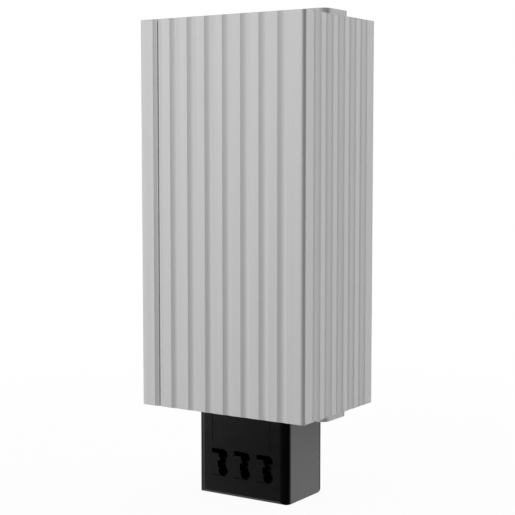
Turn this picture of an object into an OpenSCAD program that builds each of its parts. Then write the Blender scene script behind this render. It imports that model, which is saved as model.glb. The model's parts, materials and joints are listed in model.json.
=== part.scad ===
// Enclosure heater. Two equal ribbed extrusions, one turned half a turn against the other, hook
// together and clamp a flat stack of resistors between their inner pads. A strip plate at each
// end ties them together, and a moulded terminal housing hangs below the lower plate.
// The origin lies on the base plane under the axis of the extrusions, +Z up, +Y to the rail.

/* [Heat sink] */
// Width across the ribbed front
profile_w = 70; // [64:1:90]
// Depth from the front face to the rear face
profile_d = 50; // [46:1:70]
// Length of the extrusions
profile_l = 141; // [110:1:240]
// Radius of the four outer corners
corner_r = 1.4; // [0.8:0.1:2.4]
// Wall left behind the grooves
wall_t = 2.8; // [2:0.1:3.6]
// Bevel that breaks the sawn edges at both ends
end_break = 0.15; // [0.1:0.05:0.6]
// Width of a front groove
front_groove_w = 4; // [3:0.1:5]
// Depth of a front groove at its middle
front_groove_depth = 0.45; // [0.3:0.05:1]
// Distance between neighbouring front grooves
front_pitch = 7.6; // [6.5:0.05:9]
// Distance from the left side to the middle of the first front groove
front_first = 8.05; // [7:0.05:9]
// Width of a side groove
side_groove_w = 5.1; // [3:0.1:6]
// Depth of a side groove at its middle
side_groove_depth = 0.35; // [0.2:0.05:1]
// Distance between neighbouring side grooves
side_pitch = 8.2; // [7:0.1:10]
// Least distance from a side groove's middle to the front or rear face
side_margin = 8; // [6.5:0.5:10]
// Slit between the two extrusions, in the middle of the first front groove
seam_gap = 0.5; // [0.3:0.05:0.8]
// Play between a hooked tongue and the lip over it
lap_gap = 0.3; // [0.2:0.1:0.5]
// Thickness of the hooked tongue
tongue_t = 1.5; // [1:0.1:2.5]
// Thickness of the webs between wall and pad
web_t = 1.8; // [1.2:0.1:3]
// Ridges of the front from one web to the next
web_step = 2; // [1:1:3]
// Thickness of the pads that press on the core
pad_t = 4; // [3:0.1:6]
// Width of the screw boss at the end of a pad
boss_w = 5.2; // [5:0.1:8]
// Play between a boss and the other extrusion's pad
pad_gap = 0.4; // [0.2:0.1:0.8]

/* [End plates] */
// Distance from the heat sink's side to the end of a plate
plate_inset = 1.25; // [1:0.25:3]
// Depth of a plate
plate_d = 16.5; // [14:0.5:24]
// Thickness of a plate
plate_t = 2.1; // [1.8:0.1:4]
// Radius of a plate's corners
plate_r = 3.3; // [1:0.1:4.5]

/* [Screws] */
// Thread diameter of all screws
thread_d = 3; // [2.5:0.1:3.2]
// Play between a thread and its hole, on the diameter
thread_play = 0.1; // [0.05:0.05:0.2]
// Play between a screw and a clearance hole, on the diameter
hole_play = 0.4; // [0.2:0.1:0.6]
// Diameter of the countersunk heads
csk_head_d = 5.4; // [5:0.1:6]
// Length of thread in the heat sink
plate_screw_grip = 9; // [6:1:16]
// Diameter of the pan heads
pan_head_d = 5.5; // [5:0.1:6]
// Height of the pan heads
pan_head_h = 1.8; // [1.2:0.1:2.2]
// Width of the cross recess in a head
recess_w = 0.7; // [0.5:0.1:1]
// Depth of the cross recess in a head
recess_depth = 0.9; // [0.5:0.1:1.1]

/* [Heating core] */
// Width of a resistor
element_w = 24; // [16:1:30]
// Thickness of a resistor
element_t = 2.2; // [1.6:0.1:3.2]
// Width of the frame round the resistors
frame_w = 40; // [36:1:46]
// Bar of the frame above and below each resistor
frame_bar = 3; // [2:0.5:5]
// Play round a resistor in its window
element_play = 0.2; // [0.1:0.05:0.4]
// Width of an electrode
electrode_w = 28; // [26:1:34]
// Thickness of an electrode
electrode_t = 0.6; // [0.4:0.1:1]
// Thickness of an insulating sheet
insulator_t = 0.5; // [0.3:0.1:1]
// Play beside and beyond an insulating sheet
insulator_play = 0.5; // [0.2:0.1:1]
// Distance from the ends of the heat sink to the frame
core_end = 6; // [4:0.5:10]
// Width of an electrode's tab
tab_w = 4.5; // [3.5:0.5:6]

/* [Terminal housing] */
// Width of the housing beside the row of poles, on each side
housing_margin = 4.75; // [3.5:0.25:8]
// Depth of the housing
housing_d = 26.1; // [23:0.1:32]
// Height of the housing
housing_h = 31.6; // [29:0.1:42]
// Offset of the housing behind the heat sink's axis
housing_y = 2.1; // [0:0.1:4]
// Wall of the housing
housing_wall = 2; // [1.6:0.1:2.6]
// Radius of the upright edges
housing_edge_r = 3; // [1:0.1:4]
// Radius of the front edge at the base
base_front_r = 1; // [0.5:0.1:1.6]
// Radius of the rear edge at the base
base_rear_r = 4.5; // [2:0.1:6]
// Thickness of the walls between the poles
partition_t = 1.5; // [1:0.1:2]
// Thickness of the lid
lid_t = 2; // [1.5:0.1:3]
// Ledge that the lid rests on
lid_ledge = 1; // [0.6:0.1:1.6]
// Flat rim of the base behind the lid
lid_rim = 1; // [0.6:0.1:2]
// Play round the lid
lid_play = 0.15; // [0.1:0.05:0.3]
// Thickness of a snap hook's stem
hook_t = 1.6; // [1.2:0.1:2]
// Width of a snap hook
hook_w = 2.8; // [2:0.1:3]
// Reach of a snap hook's barb over the plate
hook_barb = 1; // [0.6:0.1:1.4]
// Height of a snap hook's ramp above the plate
hook_ramp = 2; // [1.2:0.1:3]
// Play round the hooks and the collar in the plate
slot_play = 0.2; // [0.1:0.05:0.4]
// Wall of the collar round the electrode tabs
collar_wall = 1.7; // [1:0.1:2.2]

/* [Front panel] */
// Left edge of the panel, from the middle of the housing
panel_left = 13; // [11:0.1:14]
// Right edge of the panel, from the middle of the housing
panel_right = 12.5; // [11:0.1:13.5]
// Height of the panel's lower edge above the wire entries
panel_lift = 1.4; // [0.8:0.1:3]
// Seam on each side of the panel
panel_seam = 0.2; // [0.1:0.05:0.4]
// Width of the tongues on the panel's sides
panel_tongue_w = 1; // [0.6:0.1:1.4]
// Thickness of the tongues on the panel's sides
panel_tongue_t = 0.8; // [0.5:0.1:1]

/* [Wire entries] */
// Distance between neighbouring poles
pole_pitch = 9.9; // [9:0.1:12]
// Offset of the middle entry from the housing's middle
entry_x = 1.7; // [0:0.1:2.4]
// Height of the middle of the entries
entry_z = 12.15; // [11:0.05:14]
// Distance of each round lobe from the middle of its entry
lobe_rise = 3.05; // [2.4:0.05:3.4]
// Radius of a lobe
lobe_r = 2.05; // [1.5:0.05:2.3]
// Width of the neck between two lobes
neck_w = 2.65; // [2:0.05:3]
// Reach of the blade slot left of the entry's middle
blade_reach = 5; // [3.5:0.1:5.2]
// Height of the blade slot
blade_h = 1.75; // [1:0.05:2.2]
// Reach of the notch left of the entry's middle
notch_reach = 2.45; // [1.6:0.05:3]
// Height of the notch
notch_h = 2.65; // [1.5:0.05:3]
// Drop of the notch below the entry's middle
notch_drop = 0.6; // [0:0.1:1]
// Width and depth of the fine line below the blade slot
line_w = 0.3; // [0.2:0.05:0.5]
// Length of the fine line
line_l = 4; // [2:0.1:4.5]

/* [Contacts] */
// Width of a contact strip
contact_w = 4.6; // [4:0.1:5.2]
// Thickness of a contact strip
contact_t = 0.8; // [0.5:0.1:1.2]
// Inner radius of a contact's bends
contact_bend_r = 0.6; // [0.3:0.1:1]
// Play between a contact and the walls near it
contact_play = 0.3; // [0.2:0.1:0.6]
// Distance from an electrode's back to the rear of the contacts
contact_back = 2.4; // [1.6:0.1:4]
// Free height of an electrode tab above its contact
tab_lift = 2.4; // [1:0.1:4]
// Thickness of a clamp spring
spring_t = 0.4; // [0.3:0.05:0.6]
// Width of a clamp spring
spring_w = 4; // [3:0.1:4.6]
// Inner radius of a clamp spring's nose
nose_r = 0.6; // [0.4:0.05:0.8]
// Length of a clamp spring's leaf
leaf_l = 4.6; // [3:0.1:5.5]
// Slope of a clamp spring's leaf in degrees
leaf_slope = 20; // [10:1:26]

/* [Rail clip] */
// Height of the mounting rail
rail_h = 35; // [30:0.5:40]
// Thickness of the mounting rail's edge
rail_edge_t = 1; // [0.8:0.1:1.5]
// Play round the rail's edge
rail_play = 0.4; // [0.2:0.1:0.8]
// Width of the clip
clip_w = 20; // [14:1:30]
// Thickness of the clip
clip_t = 1.2; // [0.8:0.1:2]
// Overlap of the upper lip over the rail's edge
clip_lip = 2.6; // [1.5:0.1:4]
// Spring travel below the rail's edge
clip_travel = 2; // [1:0.1:4]
// Length of the flared tip of the lower lip
clip_flare = 2.4; // [1:0.1:4]
// Slope of the flared tip in degrees
clip_flare_slope = 30; // [15:1:45]
// Distance of each clip screw from the rail's middle
clip_screw_z = 9; // [6:0.5:11]

/* [Hidden] */
$fn = 64;
over = 1;
bite = 0.1;

// Heights of the main seats
profile_z = housing_h + plate_t;
profile_top = profile_z + profile_l;

// Heat sink section, seen from above with the front at the bottom
inner_x = profile_w / 2 - side_groove_depth - wall_t;
inner_y = profile_d / 2 - front_groove_depth - wall_t;
front_count = floor((profile_w - 2 * front_first) / front_pitch) + 1;
side_count = floor((profile_d - 2 * side_margin) / side_pitch) + 1;
first_x = front_first - profile_w / 2;
core_t = element_t + 2 * (electrode_t + insulator_t);
pad_y = core_t / 2;
pad_back_y = pad_y + pad_t;
boss_x = inner_x - boss_w / 2;
pad_end_x = inner_x - boss_w - pad_gap;
web_count = floor(front_count / web_step);
function ridge_x(i) = first_x + front_pitch * (i + 0.5);
function web_x(i) = ridge_x(i * web_step);

// End plates and their screws
plate_w = profile_w - 2 * plate_inset;
screw_d = thread_d - thread_play;
csk_h = (csk_head_d - screw_d) / 2;

// Heating core
core_l = profile_l - 2 * core_end;
core_z = profile_z + core_end;
element_count = 4;
element_pitch = (core_l - frame_bar) / element_count;
element_h = element_pitch - frame_bar;
electrode_y = element_t / 2;
insulator_y = electrode_y + electrode_t;

// Terminal housing
pole_count = 3;
housing_w = pole_count * pole_pitch + 2 * housing_margin;
housing_front = housing_y - housing_d / 2;
housing_rear = housing_y + housing_d / 2;
cavity_front = housing_front + housing_wall;
cavity_rear = housing_rear - housing_wall;
cavity_x = housing_w / 2 - housing_wall;
cavity_top = housing_h - housing_wall;
lid_front = cavity_front;
lid_rear = housing_rear - base_rear_r - lid_rim;
lid_x = cavity_x;
hook_x = cavity_x - hook_t;
hook_h = plate_t + hook_ramp;
collar_y = insulator_y + slot_play + collar_wall;
entry_top = entry_z + lobe_rise + lobe_r;
entry_bottom = entry_z - lobe_rise - lobe_r;
panel_bottom = entry_top + panel_lift;
function pole_x(i) = entry_x + (i - (pole_count - 1) / 2) * pole_pitch;
collar_left = pole_x(0) - tab_w / 2 - slot_play - collar_wall;
collar_right = pole_x(1) + tab_w / 2 + slot_play + collar_wall;

// Contacts, seen from the side
contact_front = cavity_front + contact_play;
contact_rear = insulator_y + contact_back;
contact_top = entry_top + contact_t;
contact_bottom = entry_bottom - contact_t;
tab_bottom = contact_top + tab_lift;
tail_top = cavity_top - contact_play;
earth_y = 0;
earth_tail_y = earth_y - pan_head_d / 2 - contact_play - contact_t;

// Rail clip, seen from the side
clip_z = profile_z + profile_l / 2;
clip_x = -ridge_x(floor(front_count / 2) - 1);
clip_back = profile_d / 2 + clip_t;
clip_gap = rail_edge_t + rail_play;
clip_bend_r = clip_gap / 2;
clip_top = rail_h / 2 + rail_play;
clip_low = rail_h / 2 + clip_travel;

// Flat helpers

// What a round corner takes away, with the solid in the +X +Y quadrant
module corner_cut(r) {
    difference() {
        translate([-over, -over])
            square(r + over);
        translate([r, r])
            circle(r);
    }
}

module rounded_rect(size, r) {
    difference() {
        square(size, center = true);
        for (sx = [-1, 1], sy = [-1, 1])
            scale([sx, sy])
                translate(-size / 2)
                    corner_cut(r);
    }
}

// Hollow groove, its mouth on the X axis and its floor at +Y
module groove(w, depth) {
    r = (w * w / 4 + depth * depth) / (2 * depth);
    translate([0, depth - r])
        circle(r);
}

// Extrudes a section drawn in the YZ plane along X, centred on x
module along_x(x, w) {
    translate([x - w / 2, 0, 0])
        rotate([90, 0, 90])
            linear_extrude(w)
                children();
}

// Extrudes a section drawn in the XZ plane along Y, from y
module along_y(y, l) {
    translate([0, y + l, 0])
        rotate([90, 0, 0])
            linear_extrude(l)
                children();
}

// Heat sink

module outer_outline() {
    difference() {
        rounded_rect([profile_w, profile_d], corner_r);
        for (turn = [0, 180])
            rotate(turn) {
                for (i = [0 : front_count - 1])
                    translate([first_x + i * front_pitch, -profile_d / 2])
                        groove(front_groove_w, front_groove_depth);
                for (i = [0 : side_count - 1])
                    translate([profile_w / 2, (i - (side_count - 1) / 2) * side_pitch])
                        rotate(90)
                            groove(side_groove_w, side_groove_depth);
            }
    }
}

// The stretch of the outer wall that belongs to one extrusion
module half_zone() {
    front_x = first_x + seam_gap / 2;
    return_x = -first_x + seam_gap / 2;
    far_x = profile_w / 2 + over;
    far_y = profile_d / 2 + over;
    translate([front_x, -far_y])
        square([far_x - front_x, far_y - inner_y]);
    translate([inner_x, -far_y])
        square([far_x - inner_x, 2 * far_y]);
    translate([return_x, inner_y])
        square([far_x - return_x, far_y - inner_y]);
}

// Tongue that hooks behind the other extrusion's front lip
module tongue() {
    tip_x = lap_gap - inner_x;
    root_x = first_x + seam_gap / 2;
    back_y = -inner_y + lap_gap + tongue_t;
    translate([tip_x, back_y - tongue_t])
        square([web_x(0) - tip_x, tongue_t]);
    translate([root_x, -inner_y - bite])
        square([web_x(0) - root_x, back_y + inner_y + bite]);
}

module half_section() {
    difference() {
        union() {
            intersection() {
                difference() {
                    outer_outline();
                    square([2 * inner_x, 2 * inner_y], center = true);
                }
                half_zone();
            }
            tongue();
            translate([-pad_end_x, -pad_back_y])
                square([pad_end_x + inner_x + bite, pad_t]);
            for (i = [0 : web_count - 1])
                translate([web_x(i) - web_t / 2, -inner_y - bite])
                    square([web_t, inner_y - pad_back_y + 2 * bite]);
            translate([inner_x - boss_w, -pad_back_y])
                square([boss_w + bite, 2 * pad_back_y]);
        }
        translate([boss_x, 0])
            circle(d = thread_d);
    }
}

// What the bevels along the sawn edges take away
module end_cuts() {
    side_w = sqrt(2) * end_break;
    for (z = [0, profile_l], side = [-1, 1]) {
        translate([0, side * profile_d / 2, z])
            rotate([45, 0, 0])
                cube([profile_w + 2 * over, side_w, side_w], center = true);
        translate([side * profile_w / 2, 0, z])
            rotate([0, 45, 0])
                cube([side_w, profile_d + 2 * over, side_w], center = true);
    }
}

module half_profile() {
    difference() {
        linear_extrude(profile_l)
            half_section();
        end_cuts();
    }
}

module front_profile() {
    color("silver")
        translate([0, 0, profile_z])
            half_profile();
}

// The same extrusion turned half a turn, with the clip's tapped holes
module rear_profile() {
    color("silver")
        difference() {
            rotate(180)
                translate([0, 0, profile_z])
                    half_profile();
            for (side = [-1, 1])
                translate([clip_x, inner_y - over, clip_z + side * clip_screw_z])
                    rotate([-90, 0, 0])
                        cylinder(d = thread_d, h = profile_d / 2 - inner_y + 2 * over);
        }
}

// End plates

module plate_blank() {
    linear_extrude(plate_t)
        rounded_rect([plate_w, plate_d], plate_r);
}

// Countersunk clearance hole, its mouth at the origin and its axis down -Z
module csk_hole() {
    hole_d = screw_d + hole_play;
    translate([0, 0, -plate_t - over])
        cylinder(d = hole_d, h = plate_t + 2 * over);
    translate([0, 0, -(csk_head_d - hole_d) / 2])
        cylinder(d1 = hole_d, d2 = csk_head_d, h = (csk_head_d - hole_d) / 2);
    cylinder(d = csk_head_d, h = over);
}

module end_plate_top() {
    color("lightgray")
        translate([0, 0, profile_top])
            difference() {
                plate_blank();
                for (side = [-1, 1])
                    translate([side * boss_x, 0, plate_t])
                        csk_hole();
            }
}

module end_plate_bottom() {
    collar_w = collar_right - collar_left + 2 * slot_play;
    hook_slot_w = hook_t + 2 * slot_play;
    color("lightgray")
        translate([0, 0, housing_h])
            difference() {
                plate_blank();
                for (side = [-1, 1]) {
                    translate([side * boss_x, 0, 0])
                        rotate([180, 0, 0])
                            csk_hole();
                    translate([side * (hook_x + hook_t / 2), 0, plate_t / 2])
                        cube([hook_slot_w, hook_w + 2 * slot_play, plate_t + 2 * over], center = true);
                }
                translate([(collar_left + collar_right) / 2, 0, plate_t / 2])
                    cube([collar_w, 2 * (collar_y + slot_play), plate_t + 2 * over], center = true);
                translate([pole_x(2), earth_y, -over])
                    cylinder(d = thread_d, h = plate_t + 2 * over);
            }
}

// Cross recess cut down from the origin
module cross_recess(w) {
    for (turn = [0, 90])
        rotate(turn)
            translate([-w / 2, -recess_w / 2, -recess_depth])
                cube([w, recess_w, recess_depth + over]);
}

// Countersunk screw, the top of its head at the origin and its thread down -Z
module csk_screw(l) {
    difference() {
        union() {
            translate([0, 0, -csk_h])
                cylinder(d1 = screw_d, d2 = csk_head_d - hole_play, h = csk_h);
            translate([0, 0, -l])
                cylinder(d = screw_d, h = l - csk_h + bite);
        }
        cross_recess(csk_head_d / 2);
    }
}

// Pan head screw, its seat at the origin, its head above and its thread down -Z
module pan_screw(l) {
    difference() {
        union() {
            cylinder(d = pan_head_d, h = pan_head_h);
            translate([0, 0, -l])
                cylinder(d = screw_d, h = l + bite);
        }
        translate([0, 0, pan_head_h])
            cross_recess(pan_head_d / 2);
    }
}

module plate_screws() {
    color("gray")
        for (side = [-1, 1]) {
            translate([side * boss_x, 0, profile_top + plate_t])
                csk_screw(plate_t + plate_screw_grip);
            translate([side * boss_x, 0, housing_h])
                rotate([180, 0, 0])
                    csk_screw(plate_t + plate_screw_grip);
        }
}

// Heating core

function element_z(i) = core_z + frame_bar + i * element_pitch;

module resistor_frame() {
    window_w = element_w + 2 * element_play;
    window_h = element_h + 2 * element_play;
    color("ivory")
        translate([0, -element_t / 2, 0])
            difference() {
                translate([-frame_w / 2, 0, core_z])
                    cube([frame_w, element_t, core_l]);
                for (i = [0 : element_count - 1])
                    translate([-window_w / 2, -over, element_z(i) - element_play])
                        cube([window_w, element_t + 2 * over, window_h]);
            }
}

module resistor(i) {
    color("dimgray")
        translate([-element_w / 2, -element_t / 2, element_z(i)])
            cube([element_w, element_t, element_h]);
}

// Electrode strip on one side of the core, with its tab down to pole i
module electrode(side, i) {
    y = side > 0 ? electrode_y : -electrode_y - electrode_t;
    color("goldenrod") {
        translate([-electrode_w / 2, y, core_z])
            cube([electrode_w, electrode_t, core_l]);
        translate([pole_x(i) - tab_w / 2, y, tab_bottom])
            cube([tab_w, electrode_t, core_z - tab_bottom + bite]);
    }
}

module electrode_live() {
    electrode(-1, 0);
}

module electrode_neutral() {
    electrode(1, 1);
}

module insulator(side) {
    half_w = pad_end_x - insulator_play;
    y = side > 0 ? insulator_y : -insulator_y - insulator_t;
    color("khaki")
        translate([-half_w, y, profile_z + insulator_play])
            cube([2 * half_w, insulator_t, profile_l - 2 * insulator_play]);
}

// Terminal housing

// Outline from the side, with the two round edges at the base
module housing_side() {
    difference() {
        translate([housing_front, 0])
            square([housing_d, housing_h]);
        translate([housing_front, 0])
            corner_cut(base_front_r);
        translate([housing_rear, 0])
            mirror([1, 0])
                corner_cut(base_rear_r);
    }
}

module housing_body() {
    intersection() {
        translate([0, housing_y, 0])
            linear_extrude(housing_h)
                rounded_rect([housing_w, housing_d], housing_edge_r);
        along_x(0, housing_w)
            housing_side();
    }
}

// Hollow inside the walls, narrow at the base where the lid closes it
module housing_cavity() {
    shelf_z = base_rear_r;
    translate([-cavity_x, cavity_front, shelf_z])
        cube([2 * cavity_x, cavity_rear - cavity_front, cavity_top - shelf_z]);
    translate([lid_ledge - lid_x, lid_front + lid_ledge, -over])
        cube([2 * (lid_x - lid_ledge), lid_rear - lid_front - 2 * lid_ledge, shelf_z + 2 * over]);
    translate([-lid_x, lid_front, -over])
        cube([2 * lid_x, lid_rear - lid_front, lid_t + over]);
}

module partitions() {
    half_gap = (pole_pitch + lobe_r - blade_reach) / 2;
    for (i = [0, 1])
        translate([pole_x(i) + half_gap - partition_t / 2, cavity_front - bite, lid_t + lid_play])
            cube([
                partition_t,
                cavity_rear - cavity_front + 2 * bite,
                cavity_top - lid_t - lid_play + bite
            ]);
}

// One wire entry as seen from the front: two lobes, a neck, a blade slot and a notch
module entry_shape() {
    for (side = [-1, 1])
        translate([0, side * lobe_rise])
            circle(lobe_r);
    translate([-neck_w / 2, -lobe_rise])
        square([neck_w, 2 * lobe_rise]);
    translate([-blade_reach, lobe_rise + lobe_r - blade_h])
        square([blade_reach, blade_h]);
    translate([-notch_reach, -notch_drop - notch_h / 2])
        square([notch_reach, notch_h]);
}

module entry_cuts() {
    for (i = [0 : pole_count - 1])
        translate([pole_x(i), 0, entry_z]) {
            along_y(housing_front - over, housing_wall + 2 * over)
                entry_shape();
            translate([-blade_reach, housing_front - over, -lobe_rise - lobe_r])
                cube([line_l, over + line_w, line_w]);
        }
}

// Window of the front panel with a groove down each side
module panel_window() {
    groove_y = housing_front + (housing_wall - panel_tongue_t) / 2 - panel_seam;
    translate([-panel_left, housing_front - over, panel_bottom])
        cube([panel_left + panel_right, housing_wall + over + bite, housing_h]);
    translate([-panel_left - panel_tongue_w, groove_y, panel_bottom])
        cube([
            panel_left + panel_right + 2 * panel_tongue_w,
            panel_tongue_t + 2 * panel_seam,
            housing_h
        ]);
}

// Collar that leads the two electrode tabs through the lower plate
module collar() {
    translate([collar_left, -collar_y, housing_h - bite])
        cube([collar_right - collar_left, 2 * collar_y, plate_t + bite]);
}

module tab_slots() {
    slot_h = profile_z - cavity_top + 2 * over;
    for (i = [0, 1]) {
        side = i == 0 ? -1 : 1;
        y = side * (electrode_y + electrode_t / 2);
        translate([pole_x(i), y, cavity_top - over + slot_h / 2])
            cube([tab_w + 2 * slot_play, electrode_t + 2 * slot_play, slot_h], center = true);
    }
}

// Snap hook at the right, its barb over the top of the lower plate
module snap_hook() {
    barb_z = housing_h + plate_t;
    along_y(-hook_w / 2, hook_w)
        polygon([
            [hook_x, housing_h - bite],
            [hook_x + hook_t, housing_h - bite],
            [hook_x + hook_t, barb_z],
            [hook_x + hook_t + hook_barb, barb_z],
            [hook_x + hook_t, housing_h + hook_h],
            [hook_x, housing_h + hook_h]
        ]);
}

module terminal_housing() {
    color([0.12, 0.12, 0.12])
        difference() {
            union() {
                difference() {
                    housing_body();
                    housing_cavity();
                }
                intersection() {
                    partitions();
                    housing_body();
                }
                collar();
                snap_hook();
                mirror([1, 0, 0])
                    snap_hook();
            }
            entry_cuts();
            panel_window();
            tab_slots();
            translate([pole_x(2), earth_y, cavity_top - over])
                cylinder(d = screw_d + hole_play, h = housing_wall + 2 * over);
        }
}

// Lid with a post under each contact
module housing_lid() {
    post_front = lid_front + lid_ledge + contact_play;
    post_rear = min(contact_rear, lid_rear - lid_ledge - contact_play);
    color([0.14, 0.14, 0.14]) {
        translate([lid_play - lid_x, lid_front + lid_play, 0])
            cube([2 * (lid_x - lid_play), lid_rear - lid_front - 2 * lid_play, lid_t]);
        for (i = [0 : pole_count - 1])
            translate([pole_x(i) - contact_w / 2, post_front, lid_t - bite])
                cube([contact_w, post_rear - post_front, contact_bottom - lid_t + bite]);
    }
}

module front_panel() {
    width = panel_left + panel_right - 2 * panel_seam;
    height = housing_h - panel_bottom;
    tongue_y = housing_front + (housing_wall - panel_tongue_t) / 2;
    color([0.13, 0.13, 0.13]) {
        translate([panel_seam - panel_left, housing_front, panel_bottom])
            cube([width, housing_wall, height]);
        translate([panel_seam - panel_left - panel_tongue_w, tongue_y, panel_bottom])
            cube([width + 2 * panel_tongue_w, panel_tongue_t, height]);
    }
}

// Contacts and clamp springs

// Strip bent to a U that opens to the front, drawn from the side
module contact_loop() {
    size = [contact_rear - contact_front + over + contact_bend_r, contact_top - contact_bottom];
    middle = [contact_rear - size[0] / 2, (contact_top + contact_bottom) / 2];
    intersection() {
        translate(middle)
            difference() {
                rounded_rect(size, contact_bend_r + contact_t);
                rounded_rect(size - 2 * [contact_t, contact_t], contact_bend_r);
            }
        translate([contact_front, contact_bottom - over])
            square([contact_rear - contact_front + over, contact_top - contact_bottom + 2 * over]);
    }
}

// Contact of pole i, with a tail that stands on its top at y
module contact(i, tail_y, top) {
    along_x(pole_x(i), contact_w) {
        contact_loop();
        translate([tail_y, contact_top - contact_t / 2])
            square([contact_t, top - contact_top + contact_t / 2]);
    }
}

module contact_live() {
    color("peru")
        contact(0, -insulator_y - contact_t, tail_top);
}

module contact_neutral() {
    color("peru")
        contact(1, insulator_y, tail_top);
}

// The earth contact's tail ends in a foot under the housing's top
module contact_earth() {
    foot_l = earth_y - earth_tail_y + pan_head_d / 2;
    color("peru")
        difference() {
            union() {
                contact(2, earth_tail_y, cavity_top);
                translate([pole_x(2) - contact_w / 2, earth_tail_y, cavity_top - contact_t])
                    cube([contact_w, foot_l, contact_t]);
            }
            translate([pole_x(2), earth_y, cavity_top - contact_t - over])
                cylinder(d = screw_d + hole_play, h = contact_t + 2 * over);
        }
}

// Upper half of a clamp spring from the side: centre leg, round nose and leaf
module spring_half() {
    leg_rear = contact_rear - contact_t;
    nose_y = contact_front + nose_r + spring_t;
    nose_z = nose_r + spring_t;
    translate([nose_y, 0])
        square([leg_rear - nose_y, spring_t]);
    intersection() {
        translate([nose_y, nose_z])
            difference() {
                circle(nose_r + spring_t);
                circle(nose_r);
            }
        translate([contact_front - over, -over])
            square([nose_y - contact_front + over + bite, 2 * (nose_z + over)]);
    }
    translate([nose_y, nose_z])
        rotate(leaf_slope)
            translate([0, nose_r])
                square([leaf_l, spring_t]);
}

module clamp_spring(i) {
    color("lightsteelblue")
        along_x(pole_x(i), spring_w)
            translate([0, entry_z])
                for (side = [0, 1])
                    mirror([0, side])
                        spring_half();
}

module spring_live() {
    clamp_spring(0);
}

module spring_neutral() {
    clamp_spring(1);
}

module spring_earth() {
    clamp_spring(2);
}

module earth_screw() {
    color("gray")
        translate([pole_x(2), earth_y, cavity_top - contact_t])
            rotate([180, 0, 0])
                pan_screw(contact_t + housing_wall + plate_t);
}

// Rail clip

// Half ring that turns the strip back on itself, open downwards
module clip_bend() {
    reach = clip_bend_r + clip_t + over;
    difference() {
        circle(clip_bend_r + clip_t);
        circle(clip_bend_r);
        translate([-reach, -reach])
            square([2 * reach, reach]);
    }
}

// Section of the clip: base strip, upper hook and lower spring hook with a flared tip
module clip_section() {
    bend_y = clip_back + clip_bend_r;
    lip_y = clip_back + clip_gap;
    translate([clip_back - clip_t, -clip_low])
        square([clip_t, clip_low + clip_top]);
    translate([bend_y, clip_top])
        clip_bend();
    translate([lip_y, rail_h / 2 - clip_lip])
        square([clip_t, clip_top - rail_h / 2 + clip_lip]);
    translate([bend_y, -clip_low])
        mirror([0, 1])
            clip_bend();
    translate([lip_y, -clip_low])
        square([clip_t, clip_low - rail_h / 2 + clip_lip]);
    translate([lip_y, clip_lip - rail_h / 2])
        rotate(-clip_flare_slope)
            square([clip_t, clip_flare]);
}

module rail_clip() {
    color("darkgray")
        difference() {
            translate([0, 0, clip_z])
                along_x(clip_x, clip_w)
                    clip_section();
            for (side = [-1, 1])
                translate([clip_x, clip_back - clip_t - over, clip_z + side * clip_screw_z])
                    rotate([-90, 0, 0])
                        cylinder(d = screw_d + hole_play, h = clip_t + 2 * over);
        }
}

module clip_screws() {
    color("gray")
        for (side = [-1, 1])
            translate([clip_x, clip_back, clip_z + side * clip_screw_z])
                rotate([-90, 0, 0])
                    pan_screw(clip_back - inner_y);
}

front_profile();
rear_profile();
end_plate_top();
end_plate_bottom();
plate_screws();
resistor_frame();
resistor(0);  // resistor_1
resistor(1);  // resistor_2
resistor(2);  // resistor_3
resistor(3);  // resistor_4
electrode_live();
electrode_neutral();
insulator(-1);  // insulator_front
insulator(1);  // insulator_rear
terminal_housing();
housing_lid();
front_panel();
contact_live();
contact_neutral();
contact_earth();
spring_live();
spring_neutral();
spring_earth();
earth_screw();
rail_clip();
clip_screws();
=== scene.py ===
"""Looks of the enclosure heater: a material for every piece, the studio and the camera."""

import json
import math

import bpy
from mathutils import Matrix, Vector


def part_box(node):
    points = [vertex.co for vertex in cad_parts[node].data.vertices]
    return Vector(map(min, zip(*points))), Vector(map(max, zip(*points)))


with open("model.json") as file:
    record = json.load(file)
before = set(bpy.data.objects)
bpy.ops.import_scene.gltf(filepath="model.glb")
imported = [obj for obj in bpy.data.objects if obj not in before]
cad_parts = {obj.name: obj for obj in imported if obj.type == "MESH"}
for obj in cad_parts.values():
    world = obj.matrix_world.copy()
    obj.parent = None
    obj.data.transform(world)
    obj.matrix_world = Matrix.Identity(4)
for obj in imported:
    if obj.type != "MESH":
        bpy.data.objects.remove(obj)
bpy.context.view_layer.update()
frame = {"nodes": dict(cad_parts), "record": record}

MM = 0.001

# Heat sink: its skin is darker in the hollow of the grooves, a painted shade. The sawn ends and
# what lies deeper than the skin are bare metal, whose lighter tone is also painted light in the
# slit.
ALUMINIUM = (0.62, 0.62, 0.62)
SATIN_METALLIC = 0.5
CORNER_R = 1.4 * MM
HOLLOW_DEPTH = 0.4 * MM
SKIN_DEPTH = 0.48 * MM
HOLLOW_PAINTED_SHADE_TONE = 0.89
BARE_AND_PAINTED_LIGHT_TONE = 1.25
LINE_CONTRAST = 0.04
SAW_AXIS = (0.11, -0.16, 0)
SAW_PITCH = 0.45 * MM
SAW_WOBBLE = 9.0

# Housing: its shine fades behind the outer faces, a painted shade that darkens the wire entries
# and seams and dulls the highlights on its rounded corners
SHINE = 0.5
PAINTED_SHADE_SHINE = 0.05
PAINTED_SHADE_FADE = (0.05 * MM, 0.25 * MM)

# Most of a noise lies this near to its middle value
NOISE_MIDDLE = 0.5
NOISE_REACH = 0.2

# Camera, fitted to the edges of the heat sink in the photograph
PHOTO_PX = 515
FOCAL_PX = 1284.3
SENSOR_MM = 36.0
CAMERA_AZIMUTH = 33.12
CAMERA_ELEVATION = 4.8
CAMERA_DISTANCE = 474.8 * MM
CAMERA_CLIP = (0.01, 20)
AIM_HEIGHT = 88.18 * MM
AIM_SHIFT = -0.08 * MM

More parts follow.
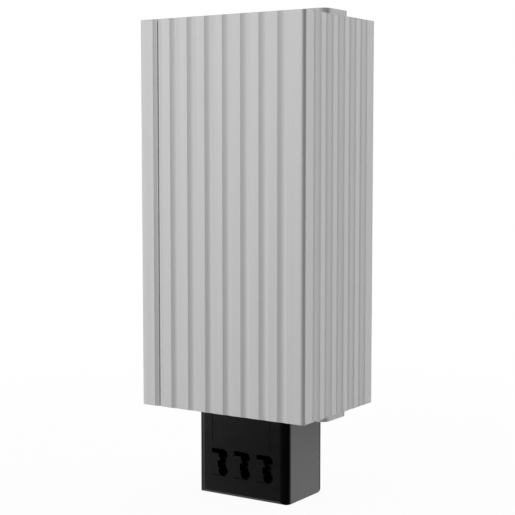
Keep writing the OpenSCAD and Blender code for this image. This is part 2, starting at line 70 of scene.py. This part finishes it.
# Studio: FLOOR_GLOW is the share of the floor's white that is its own glow near the object.
# The share rises to 1 over the two distances of FLOOR_FADE.
FLOOR_RADIUS = 1.2
FLOOR_SIDES = 96
FLOOR_DROP = 0.05 * MM
FLOOR_ALBEDO = 0.9
FLOOR_GLOW = 0.95
FLOOR_FADE = (0.12, 0.4)
ROOM_AMBIENT = 0.9
ROOM_GLOSS = 0.95

# Patches of the room that are darker or lighter than its white walls: azimuth, elevation,
# angle of the even core, angle of the soft edge, level
ROOM_PATCHES = (
    # Dark side, for the near corner and the left flanks of the front grooves
    (71, 0, 28, 74, 0.05),
    # Dark strip low in front, for the front and the near corner of the housing
    (-25, -12, 10, 16, 0.07),
    (-4, -14, 10, 16, 0.06),
    (14, -14, 10, 16, 0.06),
    # Grey side, for the right flanks of the front grooves
    (-85, -20, 15, 45, 0.75),
    # Light patch low behind, for the right face of the housing, over a dark one
    (147, -20, 4, 9, 2.1),
    (147, -42, 16, 30, 0.1),
    # Light wall, for the right face of the heat sink
    (147, 25, 15, 50, 1.55),
    # Dark wall, for the near flanks of the side grooves
    (189, 0, 20, 40, 0.1),
    # Light floor and wall in front, for the front of the heat sink
    (-33, -38, 14, 30, 1.6),
    (-10, 12, 10, 35, 1.25),
)


def toward(azimuth, elevation):
    """Unit vector to a place at that azimuth from the front and that elevation, in degrees."""
    a, e = math.radians(azimuth), math.radians(elevation)
    return Vector((math.sin(a) * math.cos(e), -math.cos(a) * math.cos(e), math.sin(e)))


def shade(colour, factor):
    return tuple(channel * factor for channel in colour)


def evenly(cells):
    """The same number of noise cells in a metre along each axis."""
    return (cells, cells, cells)


class Graph:
    """Adds nodes to one node tree and links them."""

    def __init__(self, tree):
        self.tree = tree

    def feed(self, socket, value):
        if isinstance(value, bpy.types.NodeSocket):
            self.tree.links.new(value, socket)
        else:
            socket.default_value = value

    def node(self, kind, values=(), settings=None, **inputs):
        """A new node: values go to its first sockets in order, inputs to sockets by name."""
        made = self.tree.nodes.new("ShaderNode" + kind)
        for key, value in (settings or {}).items():
            setattr(made, key, value)
        for socket, value in zip(made.inputs, values):
            self.feed(socket, value)
        for key, value in inputs.items():
            self.feed(made.inputs[key.replace("_", " ").title()], value)
        return made

    def math(self, operation, *values):
        return self.node("Math", values, {"operation": operation}).outputs[0]

    def vector_math(self, operation, *values):
        """Outputs of the node: "Vector" or "Value", as the operation gives."""
        return self.node("VectorMath", values, {"operation": operation}).outputs

    def span(self, value, low, high, to_low=0.0, to_high=1.0, smooth=False):
        """Maps the stretch from low to high onto the stretch from to_low to to_high."""
        kind = "SMOOTHSTEP" if smooth else "LINEAR"
        made = self.node(
            "MapRange", settings={"interpolation_type": kind}, value=value,
            from_min=low, from_max=high, to_min=to_low, to_max=to_high,
        )
        return made.outputs["Result"]

    def blend(self, factor, first, second):
        """The first value where the factor is 0, the second where it is 1."""
        made = self.node("Mix", factor=factor)
        self.feed(made.inputs[2], first)
        self.feed(made.inputs[3], second)
        return made.outputs[0]

    def tint(self, factor, first, second):
        """The first colour where the factor is 0, the second where it is 1."""
        made = self.node("Mix", settings={"data_type": "RGBA"}, factor=factor)
        for socket, colour in ((made.inputs[6], first), (made.inputs[7], second)):
            self.feed(socket, (*colour, 1.0) if isinstance(colour, tuple) else colour)
        return made.outputs[2]

    def here(self):
        """The point's own coordinates in metres."""
        return self.node("TexCoord").outputs["Object"]

    def noise(self, cells, detail=2.0, roughness=0.5):
        """Noise with about that many cells in a metre along each axis."""
        place = self.node("Mapping", vector=self.here(), scale=cells).outputs["Vector"]
        made = self.node("TexNoise", vector=place, scale=1.0, detail=detail, roughness=roughness)
        return made.outputs["Fac"]

    def level(self, noise, low, high, reach=NOISE_REACH):
        """Maps the middle stretch of a noise onto the stretch from low to high."""
        return self.span(noise, NOISE_MIDDLE - reach, NOISE_MIDDLE + reach, low, high)

    def toned(self, noise, colour, spread, reach=NOISE_REACH):
        """The colour, lighter and darker by that share with the noise."""
        factor = self.level(noise, 0.0, 1.0, reach)
        return self.tint(factor, shade(colour, 1 - spread), shade(colour, 1 + spread))

    def depths(self, names, axes):
        """How far a point lies within the box round those CAD nodes, along each axis."""
        corners = [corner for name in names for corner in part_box(name)]
        place = self.node("SeparateXYZ", vector=self.here()).outputs
        found = []
        for axis in axes:
            along = [corner["XYZ".index(axis)] for corner in corners]
            from_low = self.math("SUBTRACT", place[axis], min(along))
            from_high = self.math("SUBTRACT", max(along), place[axis])
            found.append(self.math("MINIMUM", from_low, from_high))
        return found

    def seen_directly(self):
        """1 for rays from the camera, from gloss and through glass, else 0."""
        path = self.node("LightPath").outputs
        either = self.math("MAXIMUM", path["Is Camera Ray"], path["Is Glossy Ray"])
        return self.math("MAXIMUM", either, path["Is Transmission Ray"])


class Finish(Graph):
    """A material with one shader, whose sockets take constants or textures."""

    SOCKETS = {"ior": "IOR", "specular": "Specular IOR Level"}

    def __init__(self, name, **constants):
        self.name = name
        self.material = bpy.data.materials.new(name)
        self.material.use_nodes = True
        super().__init__(self.material.node_tree)
        self.shader = self.tree.nodes["Principled BSDF"]
        self.set(**constants)

    def set(self, **sockets):
        for key, value in sockets.items():
            name = self.SOCKETS.get(key, key.replace("_", " ").title())
            self.feed(self.shader.inputs[name], value)

    def bump(self, height, depth, strength, under=None):
        made = self.node("Bump", strength=strength, distance=depth, height=height)
        if under is not None:
            self.feed(made.inputs["Normal"], under)
        return made.outputs["Normal"]


def rolled_metal(name, colour, grain, roughness, spread, metallic=1.0):
    """Metal with fine lines along one axis: grain holds the cells in a metre along each axis."""
    finish = Finish(name, metallic=metallic)
    lines = finish.noise(grain, 3.0, 0.6)
    cloud = finish.noise(evenly(60), 3.0)
    finish.set(
        base_color=finish.toned(finish.blend(0.4, lines, cloud), colour, spread),
        roughness=finish.level(lines, roughness - 0.05, roughness + 0.05),
        normal=finish.bump(lines, 0.01 * MM, 0.5),
    )
    return finish


def saw_marks(finish):
    """Arcs about the axis of a saw blade far to one side."""
    flat = finish.vector_math("MULTIPLY", finish.here(), (1, 1, 0))["Vector"]
    radius = finish.vector_math("DISTANCE", flat, SAW_AXIS)["Value"]
    turns = finish.math("MULTIPLY", radius, 2 * math.pi / SAW_PITCH)
    wobble = finish.math("MULTIPLY", finish.noise(evenly(900), 3.0), SAW_WOBBLE)
    return finish.span(finish.math("SINE", finish.math("ADD", turns, wobble)), -1, 1)


def groove_shade_and_inner_light(finish):
    """Two masks for the heat sink: painted shade where its grooves sink in, and all that lies
    deeper, bare metal with painted light.
    """
    across = finish.depths(("front_profile", "rear_profile"), "XY")
    depth = finish.math("MINIMUM", *across)
    off_corners = finish.math("GREATER_THAN", finish.math("MAXIMUM", *across), CORNER_R)
    groove_shade = finish.span(depth, 0, HOLLOW_DEPTH, smooth=True)
    inner_light = finish.math("GREATER_THAN", depth, SKIN_DEPTH)
    return finish.math("MULTIPLY", groove_shade, off_corners), inner_light


def anodised_extrusion(name):
    """Satin anodised aluminium: die lines along the length and saw marks on the two cut ends."""
    finish = Finish(name, metallic=SATIN_METALLIC)
    die_lines = finish.noise((4200, 4200, 9), 3.0, 0.65)
    broad_lines = finish.noise((620, 620, 3), 2.0)
    etch = finish.noise(evenly(5200), 2.0)
    normal = finish.node("NewGeometry").outputs["True Normal"]
    facing_up = finish.node("SeparateXYZ", vector=normal).outputs["Z"]
    sawn = finish.span(finish.math("ABSOLUTE", facing_up), 0.9, 0.98)
    lines = finish.blend(0.55, die_lines, broad_lines)
    height = finish.blend(sawn, lines, saw_marks(finish))

    def lined(tone):
        return finish.toned(height, shade(ALUMINIUM, tone), LINE_CONTRAST / tone, 0.25)

    # Painted shade darkens the skin in the hollow of the grooves. The lighter bare tone of what
    # lies deeper is also painted light in the slit.
    groove_shade, inner_light = groove_shade_and_inner_light(finish)
    skin = finish.tint(groove_shade, lined(1.0), lined(HOLLOW_PAINTED_SHADE_TONE))
    finish.set(
        base_color=finish.tint(finish.math("MAXIMUM", inner_light, sawn), skin, lined(BARE_AND_PAINTED_LIGHT_TONE)),
        roughness=finish.level(die_lines, 0.38, 0.46),
        normal=finish.bump(height, 0.012 * MM, 0.5, finish.bump(etch, 0.006 * MM, 0.4)),
    )
    return finish


def moulded_plastic(name, colour, roughness):
    """Plastic with the fine eroded grain of its mould, its shine faded behind the housing's outer
    faces as painted shade.
    """
    finish = Finish(name, ior=1.45)
    pits = finish.noise(evenly(3600), 3.0, 0.6)
    flow = finish.noise((55, 55, 90), 2.0)
    # Painted shade: the shine fades behind the housing's outer faces, darkening the wire entries
    # and seams and dulling the rounded corners.
    wide, deep, high = finish.depths(("terminal_housing",), "XYZ")
    painted_shade_depth = finish.math("MINIMUM", finish.math("MINIMUM", wide, deep), high)
    finish.set(
        base_color=finish.toned(flow, colour, 0.2),
        specular=finish.span(painted_shade_depth, *PAINTED_SHADE_FADE, SHINE, PAINTED_SHADE_SHINE),
        roughness=finish.level(pits, roughness - 0.06, roughness + 0.06),
        normal=finish.bump(pits, 0.01 * MM, 0.35),
    )
    return finish


def speckled(name, colour, cells, roughness, spread):
    """Fired or pressed stuff with grains of a lighter and a darker tone."""
    finish = Finish(name)
    grains = finish.noise(evenly(cells), 4.0, 0.7)
    finish.set(
        base_color=finish.toned(grains, colour, spread, 0.15),
        roughness=finish.level(grains, roughness - 0.08, roughness + 0.08),
        normal=finish.bump(grains, 0.02 * MM, 0.5),
    )
    return finish


def make_finishes():
    """The finish of each material slot, by the slot's name."""
    along_x, along_y, along_z = (30, 5200, 5200), (5200, 30, 5200), (5200, 5200, 30)
    finishes = (
        anodised_extrusion("anodised_aluminium"),
        rolled_metal("plate_aluminium", ALUMINIUM, along_x, 0.5, 0.04, SATIN_METALLIC),
        moulded_plastic("black_plastic", (0.003, 0.003, 0.0031), 0.16),
        rolled_metal("zinc_steel", (0.52, 0.53, 0.55), evenly(2600), 0.34, 0.08),
        rolled_metal("spring_steel", (0.44, 0.44, 0.45), along_z, 0.32, 0.07),
        rolled_metal("clamp_steel", (0.01, 0.01, 0.01), along_z, 0.5, 0.1),
        rolled_metal("contact_copper", (0.72, 0.42, 0.28), along_y, 0.30, 0.08),
        rolled_metal("electrode_brass", (0.74, 0.58, 0.30), along_z, 0.30, 0.06),
        speckled("resistor_ceramic", (0.14, 0.135, 0.13), 2400, 0.6, 0.25),
        speckled("frame_ceramic", (0.74, 0.71, 0.63), 900, 0.55, 0.05),
        speckled("insulating_sheet", (0.48, 0.28, 0.09), 700, 0.35, 0.2),
    )
    return {finish.name: finish for finish in finishes}


def dress(finishes):
    """Gives each solid the material of its slot in the record."""
    for part in frame["record"]["subparts"]:
        solid = frame["nodes"][part["node"]]
        solid.data.materials.clear()
        solid.data.materials.append(finishes[part["material_slot"]].material)


def aim(thing, azimuth, elevation, distance, shift=0.0):
    """Puts a camera or lamp at that place, so that it faces the middle of the object."""
    back = toward(azimuth, elevation)
    aside = toward(azimuth + 90, 0) * shift
    thing.location = Vector((0, 0, AIM_HEIGHT)) + aside + back * distance
    thing.rotation_euler = (-back).to_track_quat("-Z", "Y").to_euler()
    bpy.context.scene.collection.objects.link(thing)


def make_camera():
    data = bpy.data.cameras.new("camera")
    data.sensor_width = SENSOR_MM
    data.lens = FOCAL_PX / PHOTO_PX * SENSOR_MM
    data.clip_start, data.clip_end = CAMERA_CLIP
    camera = bpy.data.objects.new("camera", data)
    aim(camera, CAMERA_AZIMUTH, CAMERA_ELEVATION, CAMERA_DISTANCE, AIM_SHIFT)
    bpy.context.scene.camera = camera


def make_room():
    """White all round for the camera. What lights the object has darker and lighter patches."""
    world = bpy.data.worlds.new("room")
    world.use_nodes = True
    bpy.context.scene.world = world
    graph = Graph(world.node_tree)
    background = world.node_tree.nodes["Background"]
    background.inputs["Color"].default_value = (1, 1, 1, 1)
    lit = graph.span(graph.seen_directly(), 0, 1, ROOM_AMBIENT, ROOM_GLOSS)
    direction = graph.node("TexCoord").outputs["Generated"]
    for azimuth, elevation, core, edge, level in ROOM_PATCHES:
        nearness = graph.vector_math("DOT_PRODUCT", direction, toward(azimuth, elevation))["Value"]
        low, high = math.cos(math.radians(edge)), math.cos(math.radians(core))
        patch = graph.span(nearness, low, high, 1.0, level, smooth=True)
        lit = graph.math("MULTIPLY", lit, patch)
    white = graph.math("MAXIMUM", lit, graph.node("LightPath").outputs["Is Camera Ray"])
    graph.feed(background.inputs["Strength"], white)


def make_floor():
    """Round white floor that keeps the object's shadow and can be looked through from below."""
    bpy.ops.mesh.primitive_circle_add(
        vertices=FLOOR_SIDES, radius=FLOOR_RADIUS, fill_type="NGON", location=(0, 0, -FLOOR_DROP),
    )
    floor = bpy.context.object
    floor.name = "floor"
    finish = Finish("floor_white", roughness=0.9, specular=0.0)
    finish.set(base_color=(FLOOR_ALBEDO, FLOOR_ALBEDO, FLOOR_ALBEDO, 1))
    from_middle = finish.vector_math("LENGTH", finish.here())["Value"]
    share = finish.span(from_middle, *FLOOR_FADE, FLOOR_GLOW, 1.0, smooth=True)
    share = finish.math("MULTIPLY", share, finish.seen_directly())
    glow = finish.node("Emission", strength=1.0).outputs[0]
    bright = finish.node("MixShader", (share, finish.shader.outputs[0], glow)).outputs[0]
    below = finish.node("NewGeometry").outputs["Backfacing"]
    clear = finish.node("BsdfTransparent").outputs[0]
    one_sided = finish.node("MixShader", (below, bright, clear)).outputs[0]
    finish.feed(finish.tree.nodes["Material Output"].inputs["Surface"], one_sided)
    floor.data.materials.append(finish.material)
    floor.visible_glossy = False


def make_softbox(name, azimuth, elevation, distance, size, watts):
    """Square lamp that faces the middle of the object."""
    data = bpy.data.lights.new(name, "AREA")
    data.size = size
    data.energy = watts
    aim(bpy.data.objects.new(name, data), azimuth, elevation, distance)


dress(make_finishes())
make_camera()
make_room()
make_floor()
make_softbox("key", azimuth=-50, elevation=6, distance=1.1, size=0.8, watts=1.16)
bpy.context.scene.view_settings.view_transform = "Standard"
